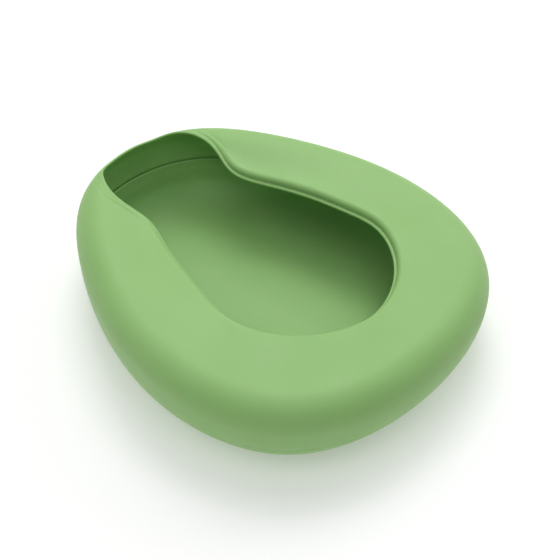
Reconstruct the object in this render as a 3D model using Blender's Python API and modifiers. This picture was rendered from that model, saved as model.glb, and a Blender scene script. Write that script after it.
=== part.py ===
"""Bedpan: an egg-shaped pan moulded in two halves, a seat shell and a bowl, welded at a lap joint.

+X points to the broad rear end, -X to the pouring spout and +Z up. The pan is symmetric about
y = 0 and stands on z = 0, with the origin under the middle of its length.
"""

import bmesh
import bpy
import numpy as np

MM = 0.001

# Plan of the outer wall, in millimetres and as shape factors of an egg
LENGTH = 360.0
BODY_HALF_WIDTH = 162.0
EGG = 0.187
BLUNT = 0.090
SQUARE = 0.018

# Side view: the seat rises slightly towards the spout, and dips at the sides of the neck
SEAT_HEIGHT = 80.0
SEAT_SLOPE = -0.033
SHOULDER_RADIUS = 23.0
SHOULDER_ROOM_SHARE = 0.9
BASE_CURVE_RADIUS = 50.0

# Edge of the opening on the +Y side, from the rear to the spout: x, y, the depth of the rolled edge
# and how far the seat has dipped where the roll starts
OPENING = (
    (114.0, 0.0, 6.5, 0.0),
    (95.5, 49.0, 6.0, 0.0),
    (58.5, 75.5, 6.0, 0.0),
    (22.0, 76.5, 6.0, 2.0),
    (-18.0, 68.0, 6.3, 3.0),
    (-57.5, 56.5, 6.0, 7.0),
    (-92.5, 47.0, 5.0, 6.5),
    (-129.0, 53.0, 1.4, 1.0),
    (-167.5, 34.0, 0.0, 0.0),
    (-173.0, 0.0, 0.0, 0.0),
)
ROLL_RADIUS = 4.5
LIP_WIDTH = 2.5
ROLL_ROOM_SHARE = 0.5
ROLL_FADE_START = 24.0
ROLL_FADE_END = 8.0

# Walls and the lap joint: angles are measured round the base curve, down from the horizontal
WALL = 2.4
GAP = 0.3
TONGUE_ROUND = 0.7
SKIRT_END_ANGLE = 16.5
TONGUE_TOP_ANGLE = 9.5
TONGUE_BLEND_START = 20.0
TONGUE_BLEND_END = 38.0

# Foot: a flat ring to stand on, round a panel that is raised clear of the surface
FOOT_WIDTH = 9.0
PANEL_RISE = 1.2
PANEL_SLOPE_WIDTH = 3.0
PANEL_RING_SHARE = 0.5

STATIONS_PER_SPAN = 4
FINE_STATIONS_PER_SPAN = 60
OUTLINE_TURNS = np.linspace(0.0, 2.0 * np.pi, 1441)
TURN_STEP = 1e-4
MATCHING_CENTRE_X = -45.0
SHOULDER_STEPS = 7
SKIRT_STEPS = 4
BOWL_STEPS = 7
SEAT_STEPS = 6
ROLL_SHARES = (1.0, 0.66, 0.38, 0.17, 0.05)
MERGE_DISTANCE = 0.00001
SHARP_ANGLE = 40.0

GREEN = (0.355, 0.578, 0.242, 1.0)
SATIN_ROUGHNESS = 0.42


def outline(turn):
    """Plan points of the outer wall; turn is 0 at the rear and pi at the spout."""
    fullness = 1.0 + EGG * np.cos(turn) + BLUNT * np.cos(2.0 * turn) + SQUARE * np.cos(4.0 * turn)
    return np.stack([LENGTH / 2.0 * np.cos(turn), BODY_HALF_WIDTH * np.sin(turn) * fullness], -1)


def outward_normals(tangents):
    """Unit normals that point out of an anticlockwise plan curve with these tangents."""
    lengths = np.linalg.norm(tangents, axis=1)
    return np.stack([tangents[:, 1], -tangents[:, 0]], -1) / lengths[:, None]


def closed_spline(knots, steps):
    """Smooth closed curve through the knots, with this many points to each span."""
    count = len(knots)
    system = 4.0 * np.eye(count) + np.roll(np.eye(count), 1, 0) + np.roll(np.eye(count), -1, 0)
    bends = np.linalg.solve(system, 6.0 * (np.roll(knots, -1, 0) - 2.0 * knots + np.roll(knots, 1, 0)))
    u = (np.arange(steps) / steps)[None, :, None]
    v = 1.0 - u
    here, there = knots[:, None], np.roll(knots, -1, 0)[:, None]
    bend_here, bend_there = bends[:, None], np.roll(bends, -1, 0)[:, None]
    points = v * here + u * there + ((v**3 - v) * bend_here + (u**3 - u) * bend_there) / 6.0
    return points.reshape(-1, knots.shape[1])


def distance_to(curve, points):
    """Shortest distance from each plan point to a densely drawn plan curve."""
    return np.linalg.norm(points[:, None] - curve[None], axis=2).min(axis=1)


def roll_reach(room):
    """Width of the lip and its roll, which shrink where the seat has little room."""
    return np.minimum(ROLL_RADIUS + LIP_WIDTH, ROLL_ROOM_SHARE * room)


def shoulder_reach(room):
    """Width of the shoulder, which shrinks where the seat has little room."""
    return np.minimum(SHOULDER_RADIUS, SHOULDER_ROOM_SHARE * (room - roll_reach(room)))


def ease(share):
    """Takes a share smoothly from 0 to 1, with level ends."""
    share = np.clip(share, 0.0, 1.0)
    return share * share * (3.0 - 2.0 * share)


def stations():
    """Matching points of the wall and the opening on the +Y side, from the rear to the spout.

    Each row is one station. Points match where they share a bearing from a point near the neck.
    """
    side = np.array(OPENING)
    knots = np.vstack([side, side[-2:0:-1] * (1.0, -1.0, 1.0, 1.0)])
    curve = closed_spline(knots, STATIONS_PER_SPAN)
    tangents = np.roll(curve, -1, 0)[:, :2] - np.roll(curve, 1, 0)[:, :2]
    half = STATIONS_PER_SPAN * (len(OPENING) - 1) + 1
    edge, edge_normals = curve[:half, :2], outward_normals(tangents)[:half]
    wall_curve = outline(OUTLINE_TURNS)
    upper = OUTLINE_TURNS <= np.pi
    wall_bearing = np.arctan2(wall_curve[upper, 1], wall_curve[upper, 0] - MATCHING_CENTRE_X)
    edge_bearing = np.arctan2(edge[:, 1], edge[:, 0] - MATCHING_CENTRE_X)
    turn = np.interp(edge_bearing, wall_bearing, OUTLINE_TURNS[upper])
    wall = outline(turn)
    wall_normals = outward_normals(outline(turn + TURN_STEP) - outline(turn - TURN_STEP))
    for points in (wall, wall_normals, edge, edge_normals):
        points[[0, -1], 1] = 0.0
    room_at_wall = distance_to(closed_spline(knots, FINE_STATIONS_PER_SPAN)[:, :2], wall)
    room_at_edge = distance_to(wall_curve, edge)
    roll_left = ease((room_at_edge - ROLL_FADE_END) / (ROLL_FADE_START - ROLL_FADE_END))
    return {
        "wall": wall,
        "wall_normals": wall_normals,
        "shoulder_reach": shoulder_reach(room_at_wall),
        "edge": edge,
        "edge_normals": edge_normals,
        "roll_reach": roll_reach(room_at_edge),
        "roll_depth": np.maximum(curve[:half, 2], 0.0) * roll_left,
        "dip": np.maximum(curve[:half, 3], 0.0),
    }


def quarter_round(radius, distance):
    """Drop of a quarter circle below its crest, at a distance in from its outer end."""
    across = np.clip(1.0 - distance / radius, 0.0, 1.0)
    return radius * (1.0 - np.sqrt(1.0 - across**2))


def shoulder_height(points):
    """Height of the seat and its shoulder above plan points."""
    wall = outline(OUTLINE_TURNS[:-1])
    normals = outward_normals(np.roll(wall, -1, 0) - np.roll(wall, 1, 0))
    nearest = np.linalg.norm(points[:, None] - wall[None], axis=2).argmin(axis=1)
    inset = ((wall[nearest] - points) * normals[nearest]).sum(axis=1)
    return SEAT_HEIGHT + SEAT_SLOPE * points[:, 0] - quarter_round(SHOULDER_RADIUS, inset)


def base_curve_ring(at, radius, angle):
    """Ring at an angle round the base curve, on the concentric surface of this radius."""
    slant = np.radians(angle)
    plan = at["wall"] - at["wall_normals"] * (BASE_CURVE_RADIUS - radius * np.cos(slant))
    return np.column_stack([plan, np.full(len(plan), BASE_CURVE_RADIUS - radius * np.sin(slant))])


def seat_rings(at):
    """Rings of the seat shell's outer surface, from the skirt's lower end to the lip."""
    rings = []
    for angle in np.linspace(SKIRT_END_ANGLE, 0.0, SKIRT_STEPS):
        rings.append(base_curve_ring(at, BASE_CURVE_RADIUS, angle))
    for slant in np.linspace(0.0, np.pi / 2.0, SHOULDER_STEPS):
        inset = at["shoulder_reach"] * (1.0 - np.cos(slant))
        plan = at["wall"] - at["wall_normals"] * inset[:, None]
        heights = SEAT_HEIGHT + SEAT_SLOPE * plan[:, 0] - quarter_round(SHOULDER_RADIUS, inset)
        rings.append(np.column_stack([plan, heights]))

    shoulder_end = rings[-1][:, :2]
    lip_width = at["roll_reach"] * LIP_WIDTH / (LIP_WIDTH + ROLL_RADIUS)
    roll_width = at["roll_reach"] - lip_width
    crest = at["edge"] + at["edge_normals"] * at["roll_reach"][:, None]
    for share in np.arange(1, SEAT_STEPS) / SEAT_STEPS:
        plan = shoulder_end * (1.0 - share) + crest * share
        rings.append(np.column_stack([plan, shoulder_height(plan) - at["dip"] * ease(share)]))
    for share in ROLL_SHARES:
        plan = at["edge"] + at["edge_normals"] * (lip_width + roll_width * share)[:, None]
        drop = np.minimum(roll_width * quarter_round(1.0, share), at["roll_depth"])
        rings.append(np.column_stack([plan, shoulder_height(plan) - at["dip"] - drop]))
    for share in (1.0, 0.0):
        plan = at["edge"] + at["edge_normals"] * (lip_width * share)[:, None]
        rings.append(np.column_stack([plan, shoulder_height(plan) - at["dip"] - at["roll_depth"]]))
    return rings


def bowl_rings(at):
    """Rings of the bowl from the middle of its underside, over the tongue, to the middle of its floor."""
    outer, inner = BASE_CURVE_RADIUS, BASE_CURVE_RADIUS - WALL
    tongue_outer = inner - GAP
    tongue_inner = tongue_outer - WALL
    ledge_angle = SKIRT_END_ANGLE + np.degrees(GAP / outer)
    round_angle = TONGUE_TOP_ANGLE + np.degrees(TONGUE_ROUND / tongue_outer)
    blend_middle = (TONGUE_BLEND_START + TONGUE_BLEND_END) / 2.0
    foot_inner = at["wall"] - at["wall_normals"] * (BASE_CURVE_RADIUS + FOOT_WIDTH)
    panel_edge = foot_inner - at["wall_normals"] * PANEL_SLOPE_WIDTH

    def level(plan, height):
        return np.column_stack([plan, np.full(len(plan), height)])

    rings = [
        level(panel_edge * PANEL_RING_SHARE, PANEL_RISE),
        level(panel_edge, PANEL_RISE),
        level(foot_inner, 0.0),
    ]
    section = [(outer, angle) for angle in np.linspace(90.0, ledge_angle, BOWL_STEPS)]
    section += [
        (tongue_outer, ledge_angle),
        (tongue_outer, round_angle),
        (tongue_outer - TONGUE_ROUND, TONGUE_TOP_ANGLE),
        (tongue_inner + TONGUE_ROUND, TONGUE_TOP_ANGLE),
        (tongue_inner, round_angle),
        (tongue_inner, TONGUE_BLEND_START),
        ((tongue_inner + inner) / 2.0, blend_middle),
    ]
    for share in np.linspace(0.0, 1.0, BOWL_STEPS - 2):
        angle = TONGUE_BLEND_END + (90.0 - TONGUE_BLEND_END) * share
        section.append((inner - PANEL_RISE * ease(share), angle))
    rings += [base_curve_ring(at, radius, angle) for radius, angle in section]
    rings.append(level(panel_edge * PANEL_RING_SHARE, PANEL_RISE + WALL))
    return rings


def loft(name, rings, closed_ends, collection):
    """Half of a piece as a skin over its rings, completed by a Mirror about y = 0."""
    mesh = bpy.data.meshes.new(name)
    shape = bmesh.new()
    rows = [[shape.verts.new(point * MM) for point in ring] for ring in rings]
    for row, following in zip(rows, rows[1:]):
        for a, b, c, d in zip(row, row[1:], following[1:], following):
            shape.faces.new((a, b, c, d))
    if closed_ends:
        for row, flip in ((rows[0], True), (rows[-1], False)):
            middle = shape.verts.new((0.0, 0.0, row[0].co.z))
            for a, b in zip(row, row[1:]):
                shape.faces.new((b, a, middle) if flip else (a, b, middle))
    shape.to_mesh(mesh)
    shape.free()
    piece = bpy.data.objects.new(name, mesh)
    collection.objects.link(piece)
    mirror = piece.modifiers.new("other_side", "MIRROR")
    mirror.use_axis = (False, True, False)
    mirror.use_mirror_merge = True
    mirror.merge_threshold = MERGE_DISTANCE
    mesh.shade_smooth()
    mesh.set_sharp_from_angle(angle=np.radians(SHARP_ANGLE))
    return piece


def plastic(name):
    """Satin moulded plastic."""
    material = bpy.data.materials.new(name)
    material.use_nodes = True
    shader = material.node_tree.nodes["Principled BSDF"]
    shader.inputs["Base Color"].default_value = GREEN
    shader.inputs["Roughness"].default_value = SATIN_ROUGHNESS
    shader.inputs["Metallic"].default_value = 0.0
    return material


def make_seat_shell(collection, at):
    """Seat, shoulder and skirt in one skin, with the keyhole opening's rolled lip."""
    shell = loft("seat_shell", seat_rings(at), False, collection)
    thickness = shell.modifiers.new("wall", "SOLIDIFY")
    thickness.thickness = WALL * MM
    thickness.offset = -1.0
    thickness.use_even_offset = True
    shell.data.materials.append(plastic("seat_plastic"))
    return shell


def make_bowl(collection, at):
    """Bowl with its foot ring, and the tongue that the seat shell's skirt laps over."""
    bowl = loft("bowl", bowl_rings(at), True, collection)
    bowl.data.materials.append(plastic("bowl_plastic"))
    return bowl


def main():
    for old in list(bpy.data.objects):
        bpy.data.objects.remove(old, do_unlink=True)
    collection = bpy.data.collections.new("bedpan")
    bpy.context.scene.collection.children.link(collection)
    at = stations()
    make_seat_shell(collection, at)
    make_bowl(collection, at)


main()
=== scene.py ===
"""Looks of the bedpan: two satin green mouldings, a seat shell welded over a bowl.

Lengths in the shape code are millimetres in the row frame: +X is the broad rear end, -X the spout.
"""

import bpy
import numpy as np
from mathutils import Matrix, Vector


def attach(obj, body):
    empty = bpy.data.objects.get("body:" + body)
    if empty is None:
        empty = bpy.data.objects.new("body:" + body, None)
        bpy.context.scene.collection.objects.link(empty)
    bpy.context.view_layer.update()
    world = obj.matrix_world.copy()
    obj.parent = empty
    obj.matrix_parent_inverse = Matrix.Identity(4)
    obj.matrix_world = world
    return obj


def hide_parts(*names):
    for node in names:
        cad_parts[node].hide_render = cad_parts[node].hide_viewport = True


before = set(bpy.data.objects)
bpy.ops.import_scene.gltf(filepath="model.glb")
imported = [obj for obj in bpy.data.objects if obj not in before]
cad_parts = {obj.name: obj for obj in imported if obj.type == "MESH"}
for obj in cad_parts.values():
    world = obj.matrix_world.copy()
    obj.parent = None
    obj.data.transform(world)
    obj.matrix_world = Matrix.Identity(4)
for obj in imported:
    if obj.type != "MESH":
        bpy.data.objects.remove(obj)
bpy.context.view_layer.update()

MM = 0.001

# Driving dimensions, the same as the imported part's
LENGTH = 360.0
BODY_HALF_WIDTH = 162.0
EGG = 0.187
BLUNT = 0.090
SQUARE = 0.018
SEAT_HEIGHT = 80.0
SEAT_SLOPE = -0.033
SHOULDER_RADIUS = 23.0
SHOULDER_ROOM_SHARE = 0.9
BASE_CURVE_RADIUS = 50.0
# Knots of the opening's +Y half, from the rear to the spout: x, y, depth of the roll, dip of the seat
OPENING = (
    (114.0, 0.0, 6.5, 0.0),
    (95.5, 49.0, 6.0, 0.0),
    (58.5, 75.5, 6.0, 0.0),
    (22.0, 76.5, 6.0, 2.0),
    (-18.0, 68.0, 6.3, 3.0),
    (-57.5, 56.5, 6.0, 7.0),
    (-92.5, 47.0, 5.0, 6.5),
    (-129.0, 53.0, 1.4, 1.0),
    (-167.5, 34.0, 0.0, 0.0),
    (-173.0, 0.0, 0.0, 0.0),
)
ROLL_RADIUS = 4.5
LIP_WIDTH = 2.5
ROLL_ROOM_SHARE = 0.5
ROLL_FADE_START = 24.0
ROLL_FADE_END = 8.0
WALL = 2.4
GAP = 0.3
SKIRT_END_ANGLE = 16.5
TONGUE_TOP_ANGLE = 9.5
TONGUE_BLEND_START = 20.0
TONGUE_BLEND_END = 38.0
FOOT_WIDTH = 9.0
PANEL_RISE = 1.2
PANEL_SLOPE_WIDTH = 3.0

# Roundings and the inner bead that only the looks have
LIP_FILLET = 1.3
JOINT_ROUND = 0.3
RIM_ROUND = WALL / 2.0
BEAD_DEPTH = 1.2
BEAD_HEIGHT = 43.0
BEAD_EDGE = 0.4
BEAD_FADE = 14.0
BEAD_ANGLES = (8.4, 7.2)

# How the opening is matched to the outer wall, and how finely the wall is drawn
STATIONS_PER_SPAN = 20
OUTLINE_TURNS = np.linspace(0.0, 2.0 * np.pi, 5761)
TURN_STEP = 1e-4
MATCHING_CENTRE_X = -45.0

# Ring counts, where each count takes in both ends of its stretch
SKIRT_RINGS = 5
BEAD_RINGS = 9
WALL_RINGS = 6
SHOULDER_FOOT_SHARES = (0.25, 0.5, 0.75)
SHOULDER_RINGS = 22
SEAT_RINGS = 15
ROLL_RINGS = 34
ROLL_TURN_WEIGHT = 4.0
FINE_STEPS = np.linspace(0.0, 1.0, 25)[:, None]
RIM_RINGS = 13
QUARTER_TURN = np.radians(np.linspace(0.0, 90.0, 5))
PANEL_SCALES = (0.04, 0.12, 0.25, 0.4, 0.55, 0.7, 0.82, 0.92)
PANEL_SLOPE_RINGS = 9
FOOT_SHARES = (0.33, 0.66)
BASE_CURVE_RINGS = 26
TONGUE_RINGS = 6
TIP_RINGS = 11
BLEND_RINGS = 13
FLOOR_CURVE_RINGS = 18

# Plastic: colours, noise scales in cycles a metre, and the bands of noise that each mark takes
DEEP_GREEN = (0.292, 0.523, 0.177, 1.0)
PALE_GREEN = (0.307, 0.538, 0.188, 1.0)
STREAK_GREEN = (0.278, 0.517, 0.166, 1.0)
SPECKLE_GREEN = (0.304, 0.560, 0.197, 1.0)
SCUFF_GREEN = (0.520, 0.680, 0.420, 1.0)
NOISE_ROUGHNESS = 0.55
CLOUD_SCALE = 13.0
CLOUD_BAND = (0.35, 0.65)
STREAK_SCALE = 45.0
STREAK_STRETCH = (0.25, 1.0, 1.0)
STREAK_TURN = 0.3
STREAK_BAND = (0.45, 0.7)
STREAK_SHARE = 0.22
SPECKLE_SCALE = 2200.0
SPECKLE_BAND = (0.55, 0.75)
SPECKLE_SHARE = 0.2
HAIRLINE_SCALE = 900.0
LONG_HAIRLINES = {"stretch": (0.02, 1.0, 1.0), "turn": 0.7}
LONG_HAIRLINE_BAND = (0.68, 0.74)
CROSS_HAIRLINES = {"stretch": (1.0, 0.015, 1.0), "turn": -0.4}
CROSS_HAIRLINE_BAND = (0.69, 0.75)
HAIRLINE_SHARE = 0.05
HAIRLINE_ROUGHENING = 0.08
SCUFF_SCALE = 420.0
SCUFF_BAND = (0.42, 0.6)
SCUFF_HEIGHT = 0.0010
SCUFF_SHARE = 0.4
SCUFF_ROUGHENING = 0.2
SATIN = 0.55
SATIN_SPREAD = 0.05
GLOSS_SCALE = 34.0
GLOSS_BAND = (0.3, 0.7)
WAVE_SCALE = 60.0
WAVE_STRENGTH = 0.5
WAVE_DEPTH = 0.00012
GRAIN_SCALE = 1900.0
GRAIN_STRENGTH = 0.4
GRAIN_DEPTH = 0.00002
SPECULAR_LEVEL = 0.45
SUBSURFACE_WEIGHT = 0.7
SUBSURFACE_RADIUS = (0.7, 1.2, 0.9)
SUBSURFACE_SCALE = 0.0028
SHEEN_WEIGHT = 0.04
SHEEN_ROUGHNESS = 0.6

# Stage, in metres
WHITE = (1.0, 1.0, 1.0, 1.0)
FLOOR_HALF_SIZE = 12.0
FLOOR_COLOUR = (0.8, 0.8, 0.8, 1.0)
FLOOR_ROUGHNESS = 0.8
FLOOR_GLOW = 0.27
SURROUND_STRENGTH = 0.21
CAMERA_AZIMUTH = np.radians(44.39)
CAMERA_ELEVATION = np.radians(44.06)
CAMERA_DISTANCE = 0.7398
CAMERA_TARGET = Vector((0.02144, -0.00463, 0.047))
CAMERA_LENS = 57.86
CAMERA_SENSOR = 36.0
LAMP_DISTANCE = 3.0
LAMP_WIDTH = 1.9
LAMP_AIM = Vector((0.0, 0.0, 0.04))
# Name, angle round from the view's far side, height angle, power
LAMPS = (
    ("far", 0.0, 54.0, 27.0),
    ("far_high", 0.0, 70.0, 21.0),
    ("far_right", -45.0, 30.0, 15.0),
    ("near_left", 120.0, 50.0, 8.0),
    ("near_high", 180.0, 68.0, 15.5),
    ("far_left", 60.0, 50.0, 5.5),
    ("right", -90.0, 60.0, 3.5),
)


def outline(turn):
    """Plan points of the outer wall; turn is 0 at the rear and pi at the spout."""
    fullness = 1.0 + EGG * np.cos(turn) + BLUNT * np.cos(2.0 * turn) + SQUARE * np.cos(4.0 * turn)
    return np.stack([LENGTH / 2.0 * np.cos(turn), BODY_HALF_WIDTH * np.sin(turn) * fullness], -1)


def outward_normals(tangents):
    """Unit normals that point out of an anticlockwise plan curve with these tangents."""
    lengths = np.linalg.norm(tangents, axis=1)
    return np.stack([tangents[:, 1], -tangents[:, 0]], -1) / lengths[:, None]


def closed_spline(knots, steps):
    """Smooth closed curve through the knots, with this many points to each span."""
    count = len(knots)
    system = 4.0 * np.eye(count) + np.roll(np.eye(count), 1, 0) + np.roll(np.eye(count), -1, 0)
    bends = np.linalg.solve(system, 6.0 * (np.roll(knots, -1, 0) - 2.0 * knots + np.roll(knots, 1, 0)))
    u = (np.arange(steps) / steps)[None, :, None]
    v = 1.0 - u
    here = knots[:, None]
    there = np.roll(knots, -1, 0)[:, None]
    bend_here = bends[:, None]
    bend_there = np.roll(bends, -1, 0)[:, None]
    points = v * here + u * there + ((v**3 - v) * bend_here + (u**3 - u) * bend_there) / 6.0
    return points.reshape(-1, knots.shape[1])


def distance_to(curve, points):
    """Shortest distance from each plan point to a densely drawn plan curve."""
    return np.linalg.norm(points[:, None] - curve[None], axis=2).min(axis=1)


def ease(share):
    """Takes a share smoothly from 0 to 1, with level ends."""
    share = np.clip(share, 0.0, 1.0)
    return share * share * (3.0 - 2.0 * share)


def roll_reach(room):
    """Width of the lip and its roll, which shrink where the seat has little room."""
    return np.minimum(ROLL_RADIUS + LIP_WIDTH, ROLL_ROOM_SHARE * room)


def shoulder_reach(room):
    """Width of the shoulder, which shrinks where the seat has little room."""
    return np.minimum(SHOULDER_RADIUS, SHOULDER_ROOM_SHARE * (room - roll_reach(room)))


def both_sides(half):
    """The whole loop from its +Y half: the second plan coordinate changes sign across y = 0."""
    other = half[-2:0:-1].copy()
    if other.ndim == 2:
        other[:, 1] *= -1.0
    return np.concatenate([half, other])


def stations():
    """Matching points of the wall and the opening all round, from the rear by +Y to the spout and back."""
    side = np.array(OPENING)
    knots = np.vstack([side, side[-2:0:-1] * (1.0, -1.0, 1.0, 1.0)])
    curve = closed_spline(knots, STATIONS_PER_SPAN)
    tangents = np.roll(curve, -1, 0)[:, :2] - np.roll(curve, 1, 0)[:, :2]
    half = STATIONS_PER_SPAN * (len(OPENING) - 1) + 1
    edge = curve[:half, :2]
    edge_normals = outward_normals(tangents)[:half]
    wall_curve = outline(OUTLINE_TURNS)
    upper = OUTLINE_TURNS <= np.pi
    wall_bearing = np.arctan2(wall_curve[upper, 1], wall_curve[upper, 0] - MATCHING_CENTRE_X)
    edge_bearing = np.arctan2(edge[:, 1], edge[:, 0] - MATCHING_CENTRE_X)
    turn = np.interp(edge_bearing, wall_bearing, OUTLINE_TURNS[upper])
    wall = outline(turn)
    wall_normals = outward_normals(outline(turn + TURN_STEP) - outline(turn - TURN_STEP))
    for points in (wall, wall_normals, edge, edge_normals):
        points[[0, -1], 1] = 0.0
    room_at_wall = distance_to(closed_spline(knots, 4 * STATIONS_PER_SPAN)[:, :2], wall)
    room_at_edge = distance_to(wall_curve, edge)
    roll_left = ease((room_at_edge - ROLL_FADE_END) / (ROLL_FADE_START - ROLL_FADE_END))
    halves = {
        "wall": wall,
        "wall_normals": wall_normals,
        "shoulder_reach": shoulder_reach(room_at_wall),
        "edge": edge,
        "edge_normals": edge_normals,
        "roll_reach": roll_reach(room_at_edge),
        "roll_depth": np.maximum(curve[:half, 2], 0.0) * roll_left,
        "dip": np.maximum(curve[:half, 3], 0.0),
    }
    return {name: both_sides(values) for name, values in halves.items()}


def quarter_round(radius, distance):
    """Drop of a quarter circle below its crest, at a distance in from its outer end."""
    across = np.clip(1.0 - distance / radius, 0.0, 1.0)
    return radius * (1.0 - np.sqrt(1.0 - across**2))


def shoulder_height(points):
    """Height of the seat and its shoulder above plan points."""
    wall = outline(OUTLINE_TURNS[:-1])
    normals = outward_normals(np.roll(wall, -1, 0) - np.roll(wall, 1, 0))
    nearest = np.linalg.norm(points[:, None] - wall[None], axis=2).argmin(axis=1)
    inset = ((wall[nearest] - points) * normals[nearest]).sum(axis=1)
    return SEAT_HEIGHT + SEAT_SLOPE * points[:, 0] - quarter_round(SHOULDER_RADIUS, inset)


def level_ring(plan, height):
    """Ring of plan points at one height."""
    return np.column_stack([plan, np.full(len(plan), height)])


def base_curve_ring(at, radius, angle):
    """Ring at an angle round the base curve, on the concentric surface of this radius."""
    slant = np.radians(angle)
    plan = at["wall"] - at["wall_normals"] * (BASE_CURVE_RADIUS - radius * np.cos(slant))
    return level_ring(plan, BASE_CURVE_RADIUS - radius * np.sin(slant))


def grid_slope(points, axis, closed):
    """Second-order slope of a grid of points along one of its axes, with uneven spacing."""
    grid = np.moveaxis(points, axis, 0)
    if closed:
        before = np.roll(grid, 1, 0)
        here = grid
        after = np.roll(grid, -1, 0)
    else:
        grid = np.concatenate([2.0 * grid[:1] - grid[1:2], grid, 2.0 * grid[-1:] - grid[-2:-1]])
        before = grid[:-2]
        here = grid[1:-1]
        after = grid[2:]
    back = np.linalg.norm(here - before, axis=-1, keepdims=True)
    ahead = np.linalg.norm(after - here, axis=-1, keepdims=True)
    slope = ((here - before) / back * ahead + (after - here) / ahead * back) / (back + ahead)
    return np.moveaxis(slope, 0, axis)


def grid_normals(rings):
    """Outward unit normals of a grid of rings that runs up the outside."""
    round_slope = grid_slope(rings, 1, True)
    up_slope = grid_slope(rings, 0, False)
    normals = np.cross(round_slope, up_slope)
    return normals / np.linalg.norm(normals, axis=-1, keepdims=True)


def roll_stretches(at):
    """Reach, drop and turning along the roll, the upright drop, the fillet and the level lip."""
    lip_width = at["roll_reach"] * LIP_WIDTH / (LIP_WIDTH + ROLL_RADIUS)
    radius = at["roll_reach"] - lip_width
    depth = at["roll_depth"]
    joined = radius + LIP_FILLET
    low = np.maximum(radius - (depth - LIP_FILLET), 0.0)
    fillet_reach = at["roll_reach"] - np.sqrt(joined**2 - np.minimum(low, joined) ** 2)
    turn = np.arccos(np.clip(low / joined, 0.0, 1.0))
    upright = np.maximum(depth - LIP_FILLET - radius, 0.0)
    level = 0.0 * FINE_STEPS
    back = turn * (1.0 - FINE_STEPS)
    roll = (
        at["roll_reach"] - radius * np.sin(turn * FINE_STEPS),
        radius * (1.0 - np.cos(turn * FINE_STEPS)),
        turn * FINE_STEPS,
    )
    drop = (roll[0][-1] + level, roll[1][-1] + upright * FINE_STEPS, turn + level)
    fillet = (
        fillet_reach + LIP_FILLET * np.sin(back),
        depth - LIP_FILLET * (1.0 - np.cos(back)),
        turn + turn * FINE_STEPS,
    )
    lip = (fillet_reach * (1.0 - FINE_STEPS) + RIM_ROUND * FINE_STEPS, depth + level, 2.0 * turn + level)
    return [np.concatenate(parts) for parts in zip(roll, drop, fillet, lip)]


def roll_profile(at):
    """Reach from the edge and drop below the seat, at each ring down the roll and out to the rim.

    The rings are spread by length and by turning, so that the tight fillet gets its share of them.
    """
    reaches, drops, turns = roll_stretches(at)
    steps = np.hypot(np.diff(reaches, axis=0), np.diff(drops, axis=0))
    steps = steps + ROLL_TURN_WEIGHT * np.diff(turns, axis=0)
    travel = np.vstack([np.zeros_like(at["roll_depth"]), np.cumsum(steps, axis=0)])
    wanted = travel[-1] * np.linspace(0.0, 1.0, ROLL_RINGS)[:, None]
    around = range(travel.shape[1])
    return [
        np.array([np.interp(wanted[:, i], travel[:, i], values[:, i]) for i in around]).T
        for values in (reaches, drops)
    ]


def bead(heights):
    """Extra wall inside the seat shell: a small ledge over the tongue's tip that fades out upwards."""
    over = heights - BEAD_HEIGHT
    return BEAD_DEPTH * ease(over / BEAD_EDGE) * (1.0 - ease(over / BEAD_FADE))


def skirt_and_shoulder(at):
    """Outer rings of the seat shell from just above the joint to the crest of the shoulder."""
    start = SKIRT_END_ANGLE - np.degrees(JOINT_ROUND / BASE_CURVE_RADIUS)
    below, above = BEAD_ANGLES
    angles = (
        *np.linspace(start, below, SKIRT_RINGS),
        *np.linspace(below, above, BEAD_RINGS)[1:],
        *np.linspace(above, 0.0, WALL_RINGS)[1:],
    )
    rings = [base_curve_ring(at, BASE_CURVE_RADIUS, angle) for angle in angles]
    shoulder_foot = SEAT_HEIGHT + SEAT_SLOPE * at["wall"][:, 0] - SHOULDER_RADIUS
    for share in SHOULDER_FOOT_SHARES:
        heights = BASE_CURVE_RADIUS * (1.0 - share) + shoulder_foot * share
        rings.append(np.column_stack([at["wall"], heights]))
    for slant in np.linspace(0.0, np.pi / 2.0, SHOULDER_RINGS):
        inset = at["shoulder_reach"] * (1.0 - np.cos(slant))
        plan = at["wall"] - at["wall_normals"] * inset[:, None]
        heights = SEAT_HEIGHT + SEAT_SLOPE * plan[:, 0] - quarter_round(SHOULDER_RADIUS, inset)
        rings.append(np.column_stack([plan, heights]))
    return rings


def seat_surface(at):
    """Outer rings of the seat shell, from just above the joint to the start of the rounded rim."""
    rings = skirt_and_shoulder(at)
    shoulder_end = rings[-1][:, :2]
    crest = at["edge"] + at["edge_normals"] * at["roll_reach"][:, None]
    for share in np.linspace(0.0, 1.0, SEAT_RINGS)[1:-1]:
        plan = shoulder_end * (1.0 - share) + crest * share
        rings.append(np.column_stack([plan, shoulder_height(plan) - at["dip"] * ease(share)]))
    for reach, drop in zip(*roll_profile(at)):
        plan = at["edge"] + at["edge_normals"] * reach[:, None]
        rings.append(np.column_stack([plan, shoulder_height(plan) - at["dip"] - drop]))
    return np.array(rings)


def rounded_rim(at, outer, normal):
    """Half-round rings from the last outer ring over the opening's rim to the inside."""
    ahead = np.cross(normal, grid_slope(outer, 1, True)[-1])
    ahead = ahead / np.linalg.norm(ahead, axis=-1, keepdims=True)
    points_out = (ahead[:, :2] * at["edge_normals"]).sum(axis=1)[:, None] > 0.0
    ahead = np.where(points_out, -ahead, ahead)
    middle = outer[-1] - normal * RIM_ROUND
    return [
        middle + (normal * np.cos(angle) + ahead * np.sin(angle)) * RIM_ROUND
        for angle in np.linspace(0.0, np.pi, RIM_RINGS)[1:-1]
    ]


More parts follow.
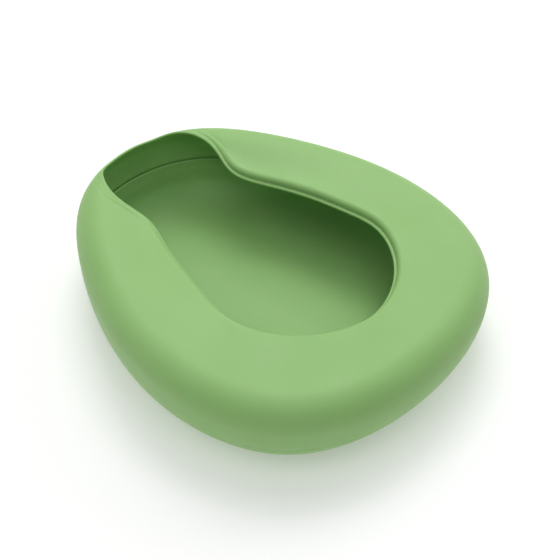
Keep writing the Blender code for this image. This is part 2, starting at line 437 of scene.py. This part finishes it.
def skirt_end(at):
    """Rings round the lower end of the skirt, from its inside to its outside."""
    turn = np.degrees(JOINT_ROUND / BASE_CURVE_RADIUS)
    rings = []
    for angle in QUARTER_TURN:
        radius = BASE_CURVE_RADIUS - WALL + JOINT_ROUND * (1.0 - np.cos(angle))
        rings.append(base_curve_ring(at, radius, SKIRT_END_ANGLE - turn * (1.0 - np.sin(angle))))
    for angle in QUARTER_TURN[:0:-1]:
        radius = BASE_CURVE_RADIUS - JOINT_ROUND * (1.0 - np.cos(angle))
        rings.append(base_curve_ring(at, radius, SKIRT_END_ANGLE - turn * (1.0 - np.sin(angle))))
    return rings


def seat_rings(at):
    """All rings of the seat shell: outside, rounded rim, inside and rounded lower end."""
    outer = seat_surface(at)
    normals = grid_normals(outer)
    inner = outer - normals * (WALL + bead(outer[..., 2:]))
    return [*outer, *rounded_rim(at, outer, normals[-1]), *inner[::-1][:-1], *skirt_end(at)]


def tongue_section():
    """Radius and angle of the bowl's section, from the joint over the tongue to the inner wall."""
    outer = BASE_CURVE_RADIUS
    inner = outer - WALL
    tongue_outer = inner - GAP
    tongue_middle = tongue_outer - RIM_ROUND
    tongue_inner = tongue_middle - RIM_ROUND
    ledge_angle = SKIRT_END_ANGLE + np.degrees(GAP / outer)
    corner_turn = np.degrees(JOINT_ROUND / outer)
    tip_turn = np.degrees(RIM_ROUND / tongue_middle)
    tip_angle = TONGUE_TOP_ANGLE + tip_turn

    section = [(outer, angle) for angle in np.linspace(90.0, ledge_angle + corner_turn, BASE_CURVE_RINGS)]
    for angle in QUARTER_TURN[1:]:
        radius = outer - JOINT_ROUND * (1.0 - np.cos(angle))
        section.append((radius, ledge_angle + corner_turn * (1.0 - np.sin(angle))))
    section.append((tongue_outer, ledge_angle))
    section += [(tongue_outer, angle) for angle in np.linspace(ledge_angle, tip_angle, TONGUE_RINGS)[1:]]
    for angle in np.radians(np.linspace(0.0, 180.0, TIP_RINGS)[1:]):
        radius = tongue_middle + RIM_ROUND * np.cos(angle)
        section.append((radius, TONGUE_TOP_ANGLE + tip_turn * (1.0 - np.sin(angle))))
    down = np.linspace(tip_angle, TONGUE_BLEND_START, TONGUE_RINGS)[1:]
    section += [(tongue_inner, angle) for angle in down]
    for share in np.linspace(0.0, 1.0, BLEND_RINGS)[1:]:
        angle = TONGUE_BLEND_START + (TONGUE_BLEND_END - TONGUE_BLEND_START) * share
        section.append((tongue_inner + (inner - tongue_inner) * ease(share), angle))
    return section


def bowl_rings(at):
    """Rings of the bowl from the middle of its underside, over the tongue, to the middle of its floor."""

    def inside_foot(inset, height):
        return level_ring(at["wall"] - at["wall_normals"] * (BASE_CURVE_RADIUS + inset), height)

    panel_edge = at["wall"] - at["wall_normals"] * (BASE_CURVE_RADIUS + FOOT_WIDTH + PANEL_SLOPE_WIDTH)
    floor_height = PANEL_RISE + WALL
    under = [level_ring(panel_edge * scale, PANEL_RISE) for scale in PANEL_SCALES]
    for share in np.linspace(0.0, 1.0, PANEL_SLOPE_RINGS)[::-1]:
        under.append(inside_foot(FOOT_WIDTH + PANEL_SLOPE_WIDTH * share, PANEL_RISE * ease(share)))
    under += [inside_foot(FOOT_WIDTH * share, 0.0) for share in FOOT_SHARES[::-1]]

    section = tongue_section()
    for share in np.linspace(0.0, 1.0, FLOOR_CURVE_RINGS)[1:]:
        angle = TONGUE_BLEND_END + (90.0 - TONGUE_BLEND_END) * share
        section.append((BASE_CURVE_RADIUS - WALL - PANEL_RISE * ease(share), angle))
    curve = [base_curve_ring(at, radius, angle) for radius, angle in section]

    floor_rings = [inside_foot(FOOT_WIDTH * share, floor_height) for share in (*FOOT_SHARES, 1.0)]
    floor_rings += [level_ring(panel_edge * scale, floor_height) for scale in PANEL_SCALES[::-1]]
    return [*under, *curve, *floor_rings]


def skin(name, rings, closed_ends):
    """A piece whose skin runs over its rings: caps at both ends, or the last ring joined to the first."""
    rings = np.array(rings) * MM
    count, around = rings.shape[:2]
    index = np.arange(count * around).reshape(count, around)
    following = index[1:] if closed_ends else np.roll(index, -1, 0)
    index = index[:-1] if closed_ends else index
    corners = [index, np.roll(index, -1, 1), np.roll(following, -1, 1), following]
    faces = np.stack(corners, -1).reshape(-1, 4).tolist()
    points = rings.reshape(-1, 3)
    if closed_ends:
        last = (count - 1) * around
        points = np.vstack([points, (0.0, 0.0, rings[0, 0, 2]), (0.0, 0.0, rings[-1, 0, 2])])
        for i in range(around):
            following_i = (i + 1) % around
            faces.append((following_i, i, len(points) - 2))
            faces.append((last + i, last + following_i, len(points) - 1))
    mesh = bpy.data.meshes.new(name)
    mesh.from_pydata(points.tolist(), [], faces)
    mesh.validate()
    mesh.shade_smooth()
    piece = bpy.data.objects.new(name, mesh)
    bpy.context.scene.collection.objects.link(piece)
    return piece


class Graph:
    """The nodes of one material, with short ways to add them and join them up."""

    def __init__(self, material, seed):
        material.use_nodes = True
        self.nodes = material.node_tree.nodes
        self.links = material.node_tree.links
        self.shader = self.nodes["Principled BSDF"]
        self.place = self.add("ShaderNodeTexCoord").outputs["Object"]
        self.offset = (seed, -seed, seed)

    def add(self, kind, **values):
        """A new node with its properties set, or its inputs for names that begin with a capital."""
        node = self.nodes.new(kind)
        for key, value in values.items():
            if key[0].isupper():
                node.inputs[key.replace("_", " ")].default_value = value
            else:
                setattr(node, key, value)
        return node

    def feed(self, socket, value):
        """Sets an input to a fixed value, or links it to another node's output."""
        if isinstance(value, (float, tuple)):
            socket.default_value = value
        else:
            self.links.new(value, socket)

    def noise(self, scale, detail, stretch=(1.0, 1.0, 1.0), turn=0.0):
        """Noise over the piece, from 0 to 1, drawn out along one axis by the stretch."""
        rotation = (0.0, 0.0, turn)
        mapping = self.add("ShaderNodeMapping", Scale=stretch, Location=self.offset, Rotation=rotation)
        texture = self.add("ShaderNodeTexNoise", Scale=scale, Detail=detail, Roughness=NOISE_ROUGHNESS)
        self.links.new(self.place, mapping.inputs["Vector"])
        self.links.new(mapping.outputs["Vector"], texture.inputs["Vector"])
        return texture.outputs["Fac"]

    def span(self, value, band, start, end):
        """Takes a value from the start at the band's low end to the end at its high end."""
        node = self.add("ShaderNodeMapRange", From_Min=band[0], From_Max=band[1], To_Min=start, To_Max=end)
        self.links.new(value, node.inputs["Value"])
        return node.outputs["Result"]

    def blend(self, factor, first, second):
        """Colour that goes from the first to the second with the factor."""
        node = self.add("ShaderNodeMix", data_type="RGBA")
        self.feed(node.inputs["Factor"], factor)
        self.feed(node.inputs[6], first)
        self.feed(node.inputs[7], second)
        return node.outputs[2]

    def combine(self, operation, first, second):
        """Two values put together by one arithmetic operation."""
        node = self.add("ShaderNodeMath", operation=operation)
        self.feed(node.inputs[0], first)
        self.feed(node.inputs[1], second)
        return node.outputs["Value"]


def pigment(graph):
    """Soft clouds, flow streaks along the moulding and a speckle too fine to see from afar."""
    clouds = graph.noise(CLOUD_SCALE, 3.0)
    streaks = graph.noise(STREAK_SCALE, 2.0, STREAK_STRETCH, STREAK_TURN)
    speckle = graph.noise(SPECKLE_SCALE, 1.0)
    colour = graph.blend(graph.span(clouds, CLOUD_BAND, 0.0, 1.0), DEEP_GREEN, PALE_GREEN)
    colour = graph.blend(graph.span(streaks, STREAK_BAND, 0.0, STREAK_SHARE), colour, STREAK_GREEN)
    return graph.blend(graph.span(speckle, SPECKLE_BAND, 0.0, SPECKLE_SHARE), colour, SPECKLE_GREEN)


def hairlines(graph):
    """How scratched the surface is: fine lines that cross in two directions."""
    along = graph.noise(HAIRLINE_SCALE, 1.0, **LONG_HAIRLINES)
    across = graph.noise(HAIRLINE_SCALE, 1.0, **CROSS_HAIRLINES)
    return graph.combine(
        "MAXIMUM",
        graph.span(along, LONG_HAIRLINE_BAND, 0.0, 1.0),
        graph.span(across, CROSS_HAIRLINE_BAND, 0.0, 1.0),
    )


def foot_scuffs(graph):
    """How rubbed the surface is: patches on the ring that the pan stands on."""
    height = graph.add("ShaderNodeSeparateXYZ")
    graph.links.new(graph.place, height.inputs["Vector"])
    near_ground = graph.span(height.outputs["Z"], (0.0, SCUFF_HEIGHT), 1.0, 0.0)
    patches = graph.span(graph.noise(SCUFF_SCALE, 5.0), SCUFF_BAND, 0.0, 1.0)
    return graph.combine("MULTIPLY", near_ground, patches)


def satin(graph, scratches, scuffs):
    """Roughness that wanders a little and rises where the surface is worn."""
    wander = graph.noise(GLOSS_SCALE, 4.0)
    roughness = graph.span(wander, GLOSS_BAND, SATIN - SATIN_SPREAD, SATIN + SATIN_SPREAD)
    roughness = graph.combine("ADD", roughness, graph.combine("MULTIPLY", scratches, HAIRLINE_ROUGHENING))
    return graph.combine("ADD", roughness, graph.combine("MULTIPLY", scuffs, SCUFF_ROUGHENING))


def moulded_grain(graph):
    """Normal of the moulded surface: long shallow waves under a fine grain."""
    waves = graph.add("ShaderNodeBump", Strength=WAVE_STRENGTH, Distance=WAVE_DEPTH)
    grain = graph.add("ShaderNodeBump", Strength=GRAIN_STRENGTH, Distance=GRAIN_DEPTH)
    graph.links.new(graph.noise(WAVE_SCALE, 2.0), waves.inputs["Height"])
    graph.links.new(graph.noise(GRAIN_SCALE, 3.0), grain.inputs["Height"])
    graph.links.new(waves.outputs["Normal"], grain.inputs["Normal"])
    return grain.outputs["Normal"]


def moulded_plastic(name, seed):
    """Satin green plastic with clouded pigment, a fine grain, faint scratches and a rubbed foot ring."""
    material = bpy.data.materials.new(name)
    graph = Graph(material, seed)
    colour = pigment(graph)
    scratches = hairlines(graph)
    scuffs = foot_scuffs(graph)
    colour = graph.blend(graph.combine("MULTIPLY", scratches, HAIRLINE_SHARE), colour, SCUFF_GREEN)
    colour = graph.blend(graph.combine("MULTIPLY", scuffs, SCUFF_SHARE), colour, SCUFF_GREEN)
    inputs = graph.shader.inputs
    graph.links.new(colour, inputs["Base Color"])
    graph.links.new(satin(graph, scratches, scuffs), inputs["Roughness"])
    graph.links.new(moulded_grain(graph), inputs["Normal"])
    inputs["Specular IOR Level"].default_value = SPECULAR_LEVEL
    inputs["Subsurface Weight"].default_value = SUBSURFACE_WEIGHT
    inputs["Subsurface Radius"].default_value = SUBSURFACE_RADIUS
    inputs["Subsurface Scale"].default_value = SUBSURFACE_SCALE
    inputs["Sheen Weight"].default_value = SHEEN_WEIGHT
    inputs["Sheen Roughness"].default_value = SHEEN_ROUGHNESS
    return material


def floor_plastic():
    """Pale matt floor that glows a little, so that it stays as pale as the photo's ground."""
    material = bpy.data.materials.new("floor")
    material.use_nodes = True
    inputs = material.node_tree.nodes["Principled BSDF"].inputs
    inputs["Base Color"].default_value = FLOOR_COLOUR
    inputs["Roughness"].default_value = FLOOR_ROUGHNESS
    inputs["Emission Color"].default_value = WHITE
    inputs["Emission Strength"].default_value = FLOOR_GLOW
    return material


def pale_floor():
    """One large square on the ground."""
    size = FLOOR_HALF_SIZE
    corners = [(-size, -size, 0), (size, -size, 0), (size, size, 0), (-size, size, 0)]
    mesh = bpy.data.meshes.new("floor")
    mesh.from_pydata(corners, [], [(0, 1, 2, 3)])
    mesh.materials.append(floor_plastic())
    square = bpy.data.objects.new("floor", mesh)
    bpy.context.scene.collection.objects.link(square)
    return square


def bearing(heading, height):
    """Unit direction at a heading round +Z from +X, and an angle up from the ground."""
    return Vector((np.cos(heading) * np.cos(height), np.sin(heading) * np.cos(height), np.sin(height)))


def place_camera():
    """Camera at the photo's angle."""
    back = bearing(CAMERA_AZIMUTH - np.pi / 2.0, CAMERA_ELEVATION)
    data = bpy.data.cameras.new("camera")
    data.lens = CAMERA_LENS
    data.sensor_width = CAMERA_SENSOR
    camera = bpy.data.objects.new("camera", data)
    camera.location = CAMERA_TARGET + back * CAMERA_DISTANCE
    camera.rotation_euler = (-back).to_track_quat("-Z", "Y").to_euler()
    bpy.context.scene.collection.objects.link(camera)
    bpy.context.scene.camera = camera


def surround():
    """A pale even glow from all round."""
    world = bpy.data.worlds.new("studio")
    world.use_nodes = True
    inputs = world.node_tree.nodes["Background"].inputs
    inputs["Color"].default_value = WHITE
    inputs["Strength"].default_value = SURROUND_STRENGTH
    bpy.context.scene.world = world


def place_lamp(name, turn, height, power):
    """Large soft disc that faces the part, placed by its angle from the view's far side."""
    data = bpy.data.lights.new(name, "AREA")
    data.shape = "DISK"
    data.size = LAMP_WIDTH
    data.energy = power
    toward = bearing(CAMERA_AZIMUTH + np.pi / 2.0 + np.radians(turn), np.radians(height))
    lamp = bpy.data.objects.new(name, data)
    lamp.location = LAMP_AIM + toward * LAMP_DISTANCE
    lamp.rotation_euler = toward.to_track_quat("Z", "Y").to_euler()
    bpy.context.scene.collection.objects.link(lamp)


at = stations()
seat = skin("moulded_seat", seat_rings(at), False)
bowl = skin("moulded_bowl", bowl_rings(at), True)
for piece, node, slot, seed in (
    (seat, "seat_shell", "seat_plastic", 1.7),
    (bowl, "bowl", "bowl_plastic", 5.3),
):
    piece.data.materials.append(moulded_plastic(slot, seed))
    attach(piece, "root")
    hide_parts(node)

floor = pale_floor()

place_camera()
surround()
for name, turn, height, power in LAMPS:
    place_lamp(name, turn, height, power)

bpy.context.scene.view_settings.view_transform = "Standard"
